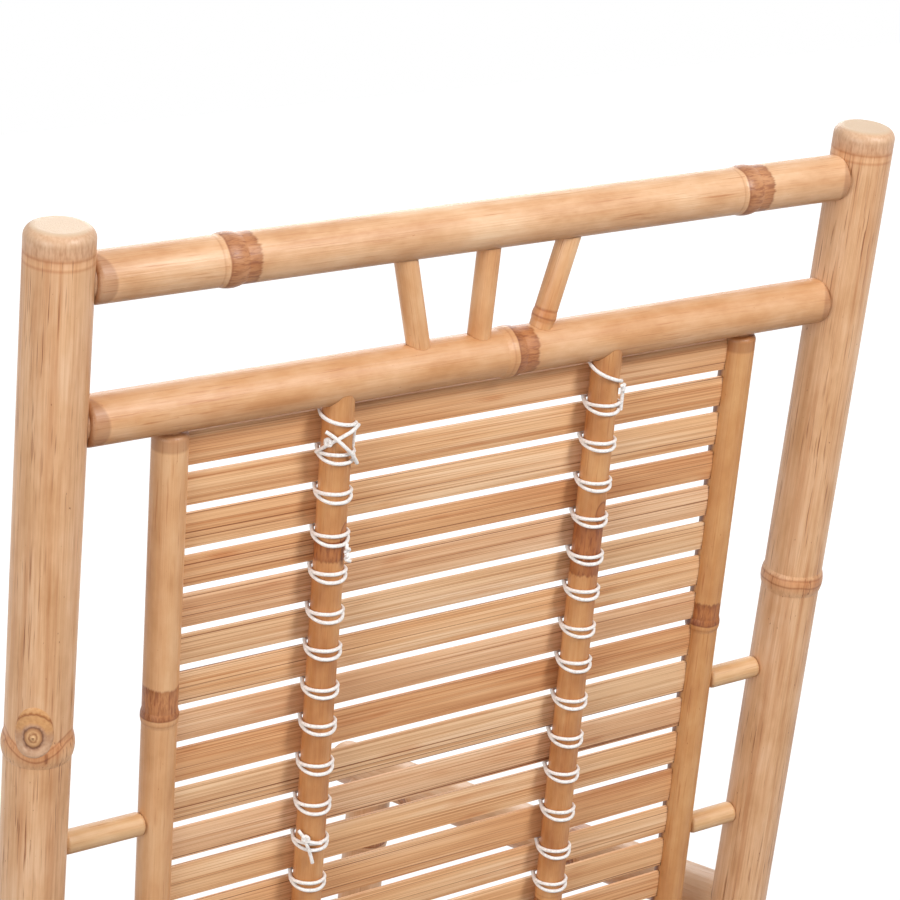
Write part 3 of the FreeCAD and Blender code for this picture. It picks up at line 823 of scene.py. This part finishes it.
SEAT_TURN = Matrix((SEAT_ACROSS, SEAT_UP, SEAT_OUT)).transposed().to_euler()
for i in range(len(BACK_WIDTHS)):
    name = "back_slat_%02d" % (i + 1)
    tones = SLAT_TONES[SLAT_ORDER[i % len(SLAT_ORDER)]]
    wear(name, split_skin(name + "_skin", RAIL_CENTRE, PANEL_TURN, tones, 100.0 + 3.7 * i))
seat_strip = sum(SEAT_WIDTHS) * MM / len(SEAT_WIDTHS) + SLAT_GAP
seat_skin = split_skin("seat_slat_skin", SEAT_FRONT, SEAT_TURN, SLAT_TONES["honey"], 300.0, seat_strip)
wear("seat_slats", seat_skin)

# Lacing cords
# White laid cord, wound twice round the pole in every gap and carried across the front of the slat to the
# next one. At the head of each back pole it is taken over the first slat and knotted, its tails showing.
CORD_RADIUS = 1.2 * MM
SLAT_FRONT = SLAT_PLANE - SLAT_HALF_THICK
CORD_SLACK = 0.3 * MM
CORD_REACH = LACING_RADIUS + CORD_RADIUS + CORD_SLACK
GAP_AT = 6.0 * MM
GAP_FRONT = 5.0 * MM
TURN_START = 212.0
TURN_SWEEP = 246.0
TURN_STEPS = 12
UPPER_RISE = 0.6
UPPER_LEVEL = 0.8
LOWER_LEVEL = -0.6
SETTLE_SHARE = 0.38
RISE_FROM = 0.62
RISE_SHARE = 0.24
SAG_LEAST = 2.2
SAG_MOST = 3.2
FUZZ_GRAIN = (1100.0, 1100.0, 1100.0)
LAY_GRAIN = (420.0, 420.0, 700.0)
LAY_RELIEF = 0.25 * MM
chance = random.Random(11)


def cord_skin(name):
    wire = Wiring(name)
    coords = wire.add("ShaderNodeTexCoord")
    fuzz = wire.noise(coords.outputs["Object"], FUZZ_GRAIN, 3.0, 4.0)
    lay = wire.noise(coords.outputs["Object"], LAY_GRAIN, 1.0, 8.0)
    colour = wire.ramp(fuzz, ((0.3, linear(232, 224, 218)), (0.6, linear(250, 247, 244))))
    colour = wire.multiply(colour, wire.ramp(lay, ((0.32, (0.86, 0.83, 0.81, 1.0)), (0.5, WHITE))))
    rough = wire.ranged(fuzz, 0.0, 1.0, 0.75, 0.95)
    wire.shader.inputs["Sheen Weight"].default_value = 0.2
    return wire.finish(colour, lay, rough, LAY_RELIEF)


def round_pole(u, degrees, v, lift=0.0):
    # A place on the cord's way round the pole: 180 is its left, 90 its back and 0 its right
    angle = math.radians(degrees)
    reach = CORD_REACH + lift
    return (u + reach * math.cos(angle), v, LACING_OUT + reach * math.sin(angle))


def gap_turns(u, v, sag):
    # Two turns in one gap: both start at the gap's left, the second hangs lower, and they meet again on the
    # right. Levels and sag are in millimetres.
    front = SLAT_FRONT - CORD_RADIUS
    points = []
    for offset, hang_most in ((UPPER_LEVEL, -sag * UPPER_RISE), (LOWER_LEVEL, sag)):
        level = v + offset * MM
        points += [(u - GAP_FRONT, level, front), (u - GAP_AT, level, SLAT_PLANE)]
        for step in range(TURN_STEPS + 1):
            share = step / TURN_STEPS
            settle = min(1.0, share / SETTLE_SHARE)
            rise = min(1.0, max(0.0, (share - RISE_FROM) / RISE_SHARE))
            hang = hang_most * settle * settle * (3.0 - 2.0 * settle) * (1.0 - rise)
            points.append(round_pole(u, TURN_START - TURN_SWEEP * share, level - hang * MM))
        points += [(u + GAP_AT, level, SLAT_PLANE), (u + GAP_FRONT, level, front)]
    return points


def strand(curve, place, route):
    spline = curve.splines.new("NURBS")
    spline.points.add(len(route) - 1)
    for point, (u, v, w) in zip(spline.points, route):
        point.co = tuple(place(u, v, w)) + (1.0,)
    spline.order_u = 3
    spline.use_endpoint_u = True


KNOT_POINTS = 14
KNOT_ROUND = 8.0
KNOT_ASIDE = 9.0
KNOT_TALL = 1.7 * MM
KNOT_CLIMB = 0.15 * MM
KNOT_LIFT = 1.0
KNOT_OVER = 1.1


def knot(u, degrees, v):
    # A small overhand knot: the cord goes more than once and a half round itself, over and under
    route = []
    for step in range(KNOT_POINTS):
        angle = 2.0 * math.pi * step / KNOT_ROUND
        aside = degrees + KNOT_ASIDE * math.cos(angle)
        height = v + KNOT_TALL * math.sin(angle) + KNOT_CLIMB * step
        route.append(round_pole(u, aside, height, (KNOT_LIFT + KNOT_OVER * (step % 2)) * MM))
    return route


def lace(name, node, place, u, widths, extras, material):
    curve = bpy.data.curves.new(name, "CURVE")
    curve.dimensions = "3D"
    curve.bevel_depth = CORD_RADIUS
    curve.bevel_resolution = 2
    curve.resolution_u = 3
    curve.use_fill_caps = True
    route = []
    v = -SLAT_FIRST
    for width in widths[:-1]:
        v -= width * MM + SLAT_GAP
        route += gap_turns(u, v + SLAT_GAP / 2.0, chance.uniform(SAG_LEAST, SAG_MOST))
    strand(curve, place, route)
    for extra in extras:
        strand(curve, place, extra)
    piece = bpy.data.objects.new(name, curve)
    bpy.context.scene.collection.objects.link(piece)
    curve.materials.append(material)
    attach(piece, "root")
    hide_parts(node)


# The head turn's way up the first slat's front and over its edge: how far left of the pole, and the height
HEAD_TUCK = (6.0 * MM, -30.0 * MM)
HEAD_EDGE = (6.5 * MM, -19.0 * MM)
HEAD_OVER = (7.0 * MM, -18.2 * MM)
HEAD_START = 215.0
HEAD_SWEEP = 195.0
HEAD_STEPS = 10


def head_turn(u, start, finish):
    # The first turn: over the top edge of the first slat, slanting down round the pole
    front = SLAT_FRONT - CORD_RADIUS
    route = [(u - HEAD_TUCK[0], HEAD_TUCK[1], front), (u - HEAD_EDGE[0], HEAD_EDGE[1], front)]
    route.append((u - HEAD_OVER[0], HEAD_OVER[1], SLAT_PLANE))
    for step in range(HEAD_STEPS + 1):
        share = step / HEAD_STEPS
        height = (start + (finish - start) * share) * MM
        route.append(round_pole(u, HEAD_START - HEAD_SWEEP * share, height))
    return route


FRAY_POINTS = 9
FRAY_ASIDE = 8.0
FRAY_FALL = 1.3 * MM
FRAY_LIFT = 0.6
FRAY_CURL = 1.4


def frayed(u, degrees, v):
    # A short end that was left to fray and curl
    route = []
    for step in range(FRAY_POINTS):
        aside = degrees + (FRAY_ASIDE if step % 2 else -FRAY_ASIDE)
        lift = (FRAY_LIFT + FRAY_CURL * (step % 3)) * MM
        route.append(round_pole(u, aside, v - FRAY_FALL * step, lift))
    return route


def loose(u, lift, places):
    # A loose length on the pole: each place is an angle round it and a height, in degrees and millimetres
    return [round_pole(u, degrees, height * MM, lift * MM) for degrees, height in places]


white_cord = cord_skin("white_cord")
left_u = LACING_POLES[0][1]
right_u = LACING_POLES[1][1]
HEAD_END = ((10.0, -33.0), (8.0, -42.0))
CROSS_UNDER = ((30.0, -26.0), (72.0, -26.5), (105.0, -29.0), (138.0, -34.0), (165.0, -39.0), (190.0, -43.5))
CROSS_OVER = ((152.0, -27.0), (130.0, -29.0), (100.0, -35.5), (72.0, -42.0), (50.0, -49.0))
LOW_TAIL_ACROSS = ((160.0, -304.0), (138.0, -309.0), (112.0, -311.5), (88.0, -312.0))
LOW_TAIL_DOWN = ((136.0, -311.0), (122.0, -317.0), (112.0, -326.0))
RIGHT_TAIL = ((60.0, -29.0), (44.0, -33.0), (40.0, -40.0), (46.0, -47.0))
left_extras = [
    head_turn(left_u, -18.5, -25.0) + loose(left_u, 0.0, HEAD_END),
    loose(left_u, 1.6, CROSS_UNDER),
    loose(left_u, 2.6, CROSS_OVER),
    knot(left_u, 146.0, -35.0 * MM),
    knot(left_u, 136.0, -310.0 * MM),
    loose(left_u, 1.8, LOW_TAIL_ACROSS),
    loose(left_u, 1.6, LOW_TAIL_DOWN),
    frayed(left_u, 66.0, -103.0 * MM),
]
right_extras = [
    head_turn(right_u, -15.5, -29.0),
    loose(right_u, 1.2, RIGHT_TAIL),
    knot(right_u, 44.0, -33.0 * MM),
]
for word, u, extras in (("left", left_u, left_extras), ("right", right_u, right_extras)):
    lace("back_lacing_" + word, "back_lacing_cord_" + word, panel_point, u, BACK_WIDTHS, extras, white_cord)
for word, u in LACING_POLES:
    lace("seat_lacing_" + word, "seat_lacing_cord_" + word, seat_point, u, SEAT_WIDTHS, (), white_cord)

# Floor, light and camera
# A white studio floor, a key light over the right shoulder, soft light all round, and the view from behind
# the left post. Floor and sky show white to the eye and in reflections, and light the chair more softly.
FLOOR_SIZE = 40.0
FLOOR_TINT = (0.26, 0.26, 0.26, 1.0)
FLOOR_ROUGH = 0.9
FLOOR_GLOW_NEAR = 0.74
FLOOR_GLOW_FAR = 0.95
FLOOR_NEAR = 1.0
FLOOR_FAR = 3.5
floor_mesh = bpy.data.meshes.new("floor")
shape = bmesh.new()
bmesh.ops.create_grid(shape, x_segments=1, y_segments=1, size=FLOOR_SIZE / 2.0)
shape.to_mesh(floor_mesh)
shape.free()
floor = bpy.data.objects.new("floor", floor_mesh)
bpy.context.scene.collection.objects.link(floor)
paint = Wiring("floor_paint")
paint.shader.inputs["Base Color"].default_value = FLOOR_TINT
paint.shader.inputs["Roughness"].default_value = FLOOR_ROUGH
paint.shader.inputs["Emission Color"].default_value = WHITE
rays = paint.add("ShaderNodeLightPath")
floor_place = paint.add("ShaderNodeTexCoord")
floor_reach = paint.add("ShaderNodeVectorMath", operation="LENGTH")
paint.join(floor_place.outputs["Object"], floor_reach.inputs[0])
far = floor_reach.outputs["Value"]
spread = paint.ranged(far, FLOOR_NEAR, FLOOR_FAR, FLOOR_GLOW_NEAR, FLOOR_GLOW_FAR)
shiny = paint.sums(rays.outputs["Is Glossy Ray"], rays.outputs["Is Transmission Ray"], "MAXIMUM")
seen = paint.sums(rays.outputs["Is Camera Ray"], shiny, "MAXIMUM")
glow = paint.sums(spread, seen, "MULTIPLY")
paint.join(glow, paint.shader.inputs["Emission Strength"])
floor_mesh.materials.append(paint.material)

SKY_LIGHT = 0.40
SKY_SEEN = 1.0
world = bpy.data.worlds.new("studio")
bpy.context.scene.world = world
world.use_nodes = True
tree = world.node_tree
path = tree.nodes.new("ShaderNodeLightPath")
strength = tree.nodes.new("ShaderNodeMapRange")
strength.inputs[3].default_value = SKY_LIGHT
strength.inputs[4].default_value = SKY_SEEN
seen = path.outputs["Is Camera Ray"]
for ray in ("Is Glossy Ray", "Is Transmission Ray"):
    either = tree.nodes.new("ShaderNodeMath")
    either.operation = "MAXIMUM"
    tree.links.new(seen, either.inputs[0])
    tree.links.new(path.outputs[ray], either.inputs[1])
    seen = either.outputs[0]
tree.links.new(seen, strength.inputs[0])
tree.links.new(strength.outputs[0], tree.nodes["Background"].inputs["Strength"])
tree.nodes["Background"].inputs["Color"].default_value = WHITE


def lamp(name, place, target, size, power):
    light = bpy.data.lights.new(name, "AREA")
    light.shape = "DISK"
    light.size = size
    light.energy = power
    holder = bpy.data.objects.new(name, light)
    holder.location = place
    holder.rotation_euler = (Vector(target) - Vector(place)).to_track_quat("-Z", "Y").to_euler()
    bpy.context.scene.collection.objects.link(holder)


lamp("key", (-0.7, 2.7, 2.15), (0.0, 0.35, 0.85), 0.9, 53.0)
lamp("side_fill", (2.4, 1.5, 1.4), (0.0, 0.3, 0.8), 1.6, 35.0)
lamp("overhead", (0.3, 0.4, 3.4), (0.0, 0.2, 0.8), 1.8, 9.0)
lamp("front_fill", (-1.6, -2.2, 2.4), (0.0, 0.0, 0.6), 1.8, 27.0)

CAMERA_PLACE = (953.4 * MM, 1787.5 * MM, 1208.6 * MM)
CAMERA_TURN = (80.037, 3.998, 145.716)
CAMERA_LENS = 112.0
CAMERA_SENSOR = 36.0
view = bpy.data.cameras.new("behind")
view.lens = CAMERA_LENS
view.sensor_width = CAMERA_SENSOR
camera = bpy.data.objects.new("behind", view)
camera.location = CAMERA_PLACE
camera.rotation_euler = Euler([math.radians(a) for a in CAMERA_TURN])
bpy.context.scene.collection.objects.link(camera)
bpy.context.scene.camera = camera
bpy.context.scene.view_settings.view_transform = "Standard"
